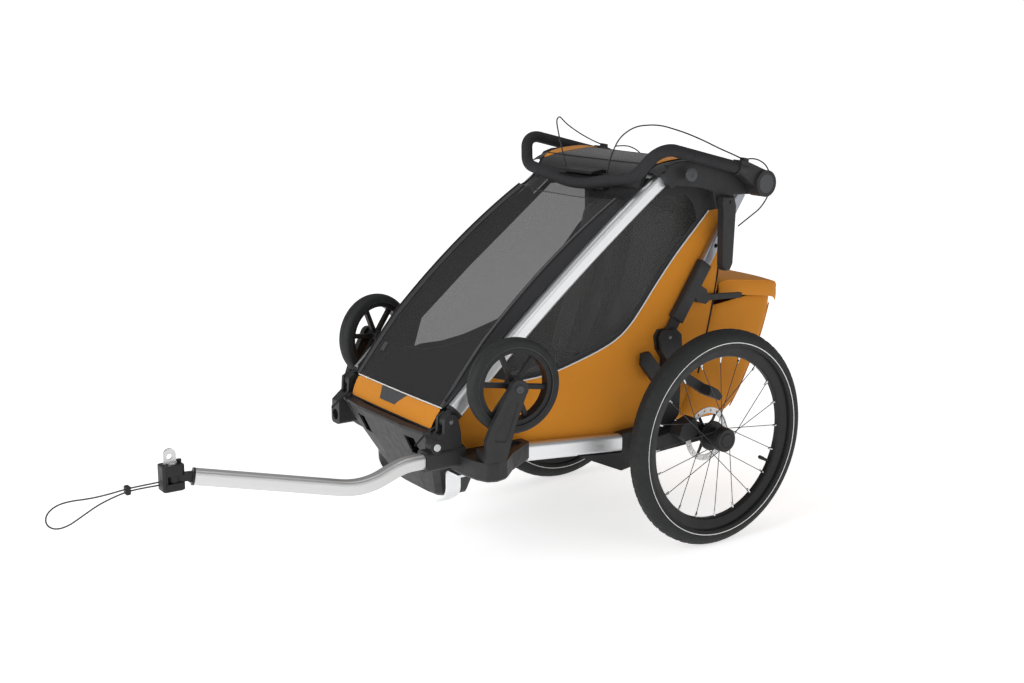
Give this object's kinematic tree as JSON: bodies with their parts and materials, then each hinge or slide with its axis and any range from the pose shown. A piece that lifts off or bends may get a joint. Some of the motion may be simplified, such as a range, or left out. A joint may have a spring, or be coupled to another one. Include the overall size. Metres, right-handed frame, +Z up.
{
  "type": "child bicycle trailer",
  "caption": "Folding child bicycle trailer with spoked wheels, stowed stroller casters, mesh front cover, rear cargo bag, push handlebar and side hitch arm.",
  "frame": {"origin": "on the floor under the middle of the footprint, from the back of the bag lid to the front of the hitch head", "axes": "+X forward to the hitch, +Y to the child's left, +Z up"},
  "size_m": [1.7531, 0.656, 0.9512],
  "materials": {
    "tyre": "matte",
    "rim": "satin",
    "steel": "satin",
    "black_rim": "satin",
    "aluminium": "satin",
    "charcoal": "matte",
    "grip": "matte",
    "orange_cloth": "matte",
    "dark_cloth": "matte",
    "mesh": "matte",
    "window": "gloss",
    "pad": "matte",
    "cord": "matte",
    "cable": "satin"
  },
  "bodies": {
    "chassis": {"side_rails": "aluminium", "front_castings": "charcoal", "rear_castings": "charcoal", "cross_tubes": "aluminium", "footwell_brackets": "aluminium", "footwell_bumper": "charcoal", "cabin_floor": "charcoal", "lower_side_panels": "orange_cloth", "upper_side_panels": "orange_cloth", "side_windows": "window", "rear_panel": "dark_cloth", "frame_pins": "steel", "seat_cushion": "pad", "caster_stems": "steel"},
    "upper_frame": {"pillars": "aluminium", "pillar_feet": "charcoal", "top_arms": "charcoal", "roof_cross_tube": "aluminium", "roof_canopy": "dark_cloth", "brake_cable_tails": "cable"},
    "front_cover": {"front_cover": "mesh"},
    "handlebar": {"handlebar_tube": "grip", "handlebar_hubs": "charcoal", "brake_housing": "charcoal", "brake_cables": "cable"},
    "brake_lever": {"brake_lever": "charcoal"},
    "handlebar_button_left": {"handlebar_button_left": "charcoal"},
    "handlebar_button_right": {"handlebar_button_right": "charcoal"},
    "fold_levers": {"fold_levers": "charcoal"},
    "leg_sleeves": {"leg_sleeves": "charcoal"},
    "leg_tubes": {"leg_tubes": "aluminium"},
    "seat_back": {"seat_back": "pad"},
    "cargo_bag": {"cargo_bag": "orange_cloth"},
    "cargo_lid": {"cargo_lid": "orange_cloth"},
    "brake_pedal": {"brake_pedal": "charcoal"},
    "drawbar": {"drawbar_tube": "aluminium", "drawbar_fittings": "charcoal"},
    "drawbar_button": {"drawbar_button": "charcoal"},
    "hitch_head": {"hitch_head": "charcoal", "tether_cord": "cord", "tether_slider": "charcoal"},
    "axle_tab": {"axle_tab": "aluminium"},
    "swing_arm_left": {"swing_arm_left": "charcoal"},
    "wheel_left": {"wheel_left_tyre": "tyre", "wheel_left_rim": "rim", "wheel_left_spokes": "steel", "wheel_left_hub": "black_rim"},
    "wheel_left_release_button": {"wheel_left_release_button": "charcoal"},
    "caster_fork_left": {"caster_left_fork": "charcoal"},
    "caster_wheel_left": {"caster_left_tyre": "tyre", "caster_left_rim": "black_rim"},
    "swing_arm_right": {"swing_arm_right": "charcoal"},
    "wheel_right": {"wheel_right_tyre": "tyre", "wheel_right_rim": "rim", "wheel_right_spokes": "steel", "wheel_right_hub": "black_rim"},
    "wheel_right_release_button": {"wheel_right_release_button": "charcoal"},
    "caster_fork_right": {"caster_right_fork": "charcoal"},
    "caster_wheel_right": {"caster_right_tyre": "tyre", "caster_right_rim": "black_rim"}
  },
  "joints": [
    {"name": "frame_fold", "type": "hinge", "parent": "chassis", "child": "upper_frame", "pos_m": [0.207, 0, 0.372], "axis": [0, -1, 0], "range_deg": [0, 25], "deforming": ["upper_side_panels", "side_windows", "rear_panel", "seat_back"]},
    {"name": "cover_lift", "type": "hinge", "parent": "upper_frame", "child": "front_cover", "pos_m": [-0.245, 0, 0.783], "axis": [0, -1, 0], "range_deg": [0, 75]},
    {"name": "handlebar_flip", "type": "hinge", "parent": "upper_frame", "child": "handlebar", "pos_m": [-0.6, 0, 0.813], "axis": [0, -1, 0], "range_deg": [0, 170]},
    {"name": "brake_squeeze", "type": "hinge", "parent": "handlebar", "child": "brake_lever", "pos_m": [-0.301, 0, 0.838], "axis": [0, 1, 0], "range_deg": [0, 4], "stiffness_Nm_per_rad": 0.5, "springref_deg": -5.73},
    {"name": "fold_lever_pull", "type": "hinge", "parent": "upper_frame", "child": "fold_levers", "pos_m": [-0.505, 0, 0.776], "axis": [0, 1, 0], "range_deg": [0, 40]},
    {"name": "leg_fold", "type": "hinge", "parent": "chassis", "child": "leg_sleeves", "pos_m": [-0.38, 0, 0.475], "axis": [0, -1, 0], "range_deg": [0, 66]},
    {"name": "leg_slide", "type": "slide", "parent": "leg_sleeves", "child": "leg_tubes", "axis": [-0.5519, 0, 0.8339], "range_m": [-0.072, 0]},
    {"name": "seat_recline", "type": "hinge", "parent": "chassis", "child": "seat_back", "pos_m": [-0.315, 0, 0.37], "axis": [0, -1, 0], "range_deg": [0, 8]},
    {"name": "bag_tip", "type": "hinge", "parent": "chassis", "child": "cargo_bag", "pos_m": [-0.467, 0, 0.262], "axis": [0, -1, 0], "range_deg": [0, 26]},
    {"name": "lid_open", "type": "hinge", "parent": "cargo_bag", "child": "cargo_lid", "pos_m": [-0.567, 0, 0.572], "axis": [0, 1, 0], "range_deg": [0, 75]},
    {"name": "parking_brake", "type": "hinge", "parent": "chassis", "child": "brake_pedal", "pos_m": [-0.407, 0.22, 0.384], "axis": [0, -1, 0], "range_deg": [0, 20]},
    {"name": "suspension_left", "type": "hinge", "parent": "chassis", "child": "swing_arm_left", "pos_m": [-0.305, 0.226, 0.238], "axis": [0, 1, 0], "range_deg": [-2, 4], "stiffness_Nm_per_rad": 600, "springref_deg": -1.15},
    {"name": "wheel_left_spin", "type": "hinge", "parent": "swing_arm_left", "child": "wheel_left", "pos_m": [-0.455, 0.2955, 0.25], "axis": [0, 1, 0], "continuous": true},
    {"name": "wheel_left_release", "type": "slide", "parent": "wheel_left", "child": "wheel_left_release_button", "axis": [0, -1, 0], "range_m": [0, 0.003], "stiffness_N_per_m": 600, "springref_m": -0.002},
    {"name": "handlebar_release_left", "type": "slide", "parent": "handlebar", "child": "handlebar_button_left", "axis": [0, -1, 0], "range_m": [0, 0.003], "stiffness_N_per_m": 600, "springref_m": -0.002},
    {"name": "caster_left_swivel", "type": "hinge", "parent": "chassis", "child": "caster_fork_left", "pos_m": [0.147, 0.2744, 0.306], "axis": [0, 0, -1], "range_deg": [-8, 40]},
    {"name": "caster_left_spin", "type": "hinge", "parent": "caster_fork_left", "child": "caster_wheel_left", "pos_m": [0.1005, 0.2831, 0.4467], "axis": [0.184, 0.9829, 0], "continuous": true},
    {"name": "suspension_right", "type": "hinge", "parent": "chassis", "child": "swing_arm_right", "pos_m": [-0.305, -0.226, 0.238], "axis": [0, 1, 0], "range_deg": [-2, 4], "stiffness_Nm_per_rad": 600, "springref_deg": -1.15},
    {"name": "wheel_right_spin", "type": "hinge", "parent": "swing_arm_right", "child": "wheel_right", "pos_m": [-0.455, -0.2955, 0.25], "axis": [0, 1, 0], "continuous": true},
    {"name": "wheel_right_release", "type": "slide", "parent": "wheel_right", "child": "wheel_right_release_button", "axis": [0, 1, 0], "range_m": [0, 0.003], "stiffness_N_per_m": 600, "springref_m": -0.002},
    {"name": "handlebar_release_right", "type": "slide", "parent": "handlebar", "child": "handlebar_button_right", "axis": [0, 1, 0], "range_m": [0, 0.003], "stiffness_N_per_m": 600, "springref_m": -0.002},
    {"name": "caster_right_swivel", "type": "hinge", "parent": "chassis", "child": "caster_fork_right", "pos_m": [0.147, -0.2744, 0.306], "axis": [0, 0, 1], "range_deg": [-8, 40]},
    {"name": "caster_right_spin", "type": "hinge", "parent": "caster_fork_right", "child": "caster_wheel_right", "pos_m": [0.1005, -0.2831, 0.4467], "axis": [0.184, -0.9829, 0], "continuous": true},
    {"name": "drawbar_pull", "type": "slide", "parent": "chassis", "child": "drawbar", "axis": [1, 0, 0], "range_m": [0, 0.1]},
    {"name": "drawbar_release", "type": "slide", "parent": "chassis", "child": "drawbar_button", "axis": [0, -1, 0], "range_m": [0, 0.003], "stiffness_N_per_m": 600, "springref_m": -0.002},
    {"name": "hitch_swivel", "type": "hinge", "parent": "drawbar", "child": "hitch_head", "pos_m": [0.751, 0.112, 0.326], "axis": [0, 0, 1], "range_deg": [-60, 60]},
    {"name": "axle_tab_turn", "type": "hinge", "parent": "hitch_head", "child": "axle_tab", "pos_m": [0.751, 0.112, 0.355], "axis": [0, 0, 1], "range_deg": [-30, 30]}
  ],
  "couplings": [
    {"joint": "leg_fold", "follows": "frame_fold", "ratio": 2.584},
    {"joint": "leg_slide", "follows": "frame_fold", "m_per_rad": -0.158},
    {"joint": "bag_tip", "follows": "frame_fold", "ratio": 1}
  ]
}
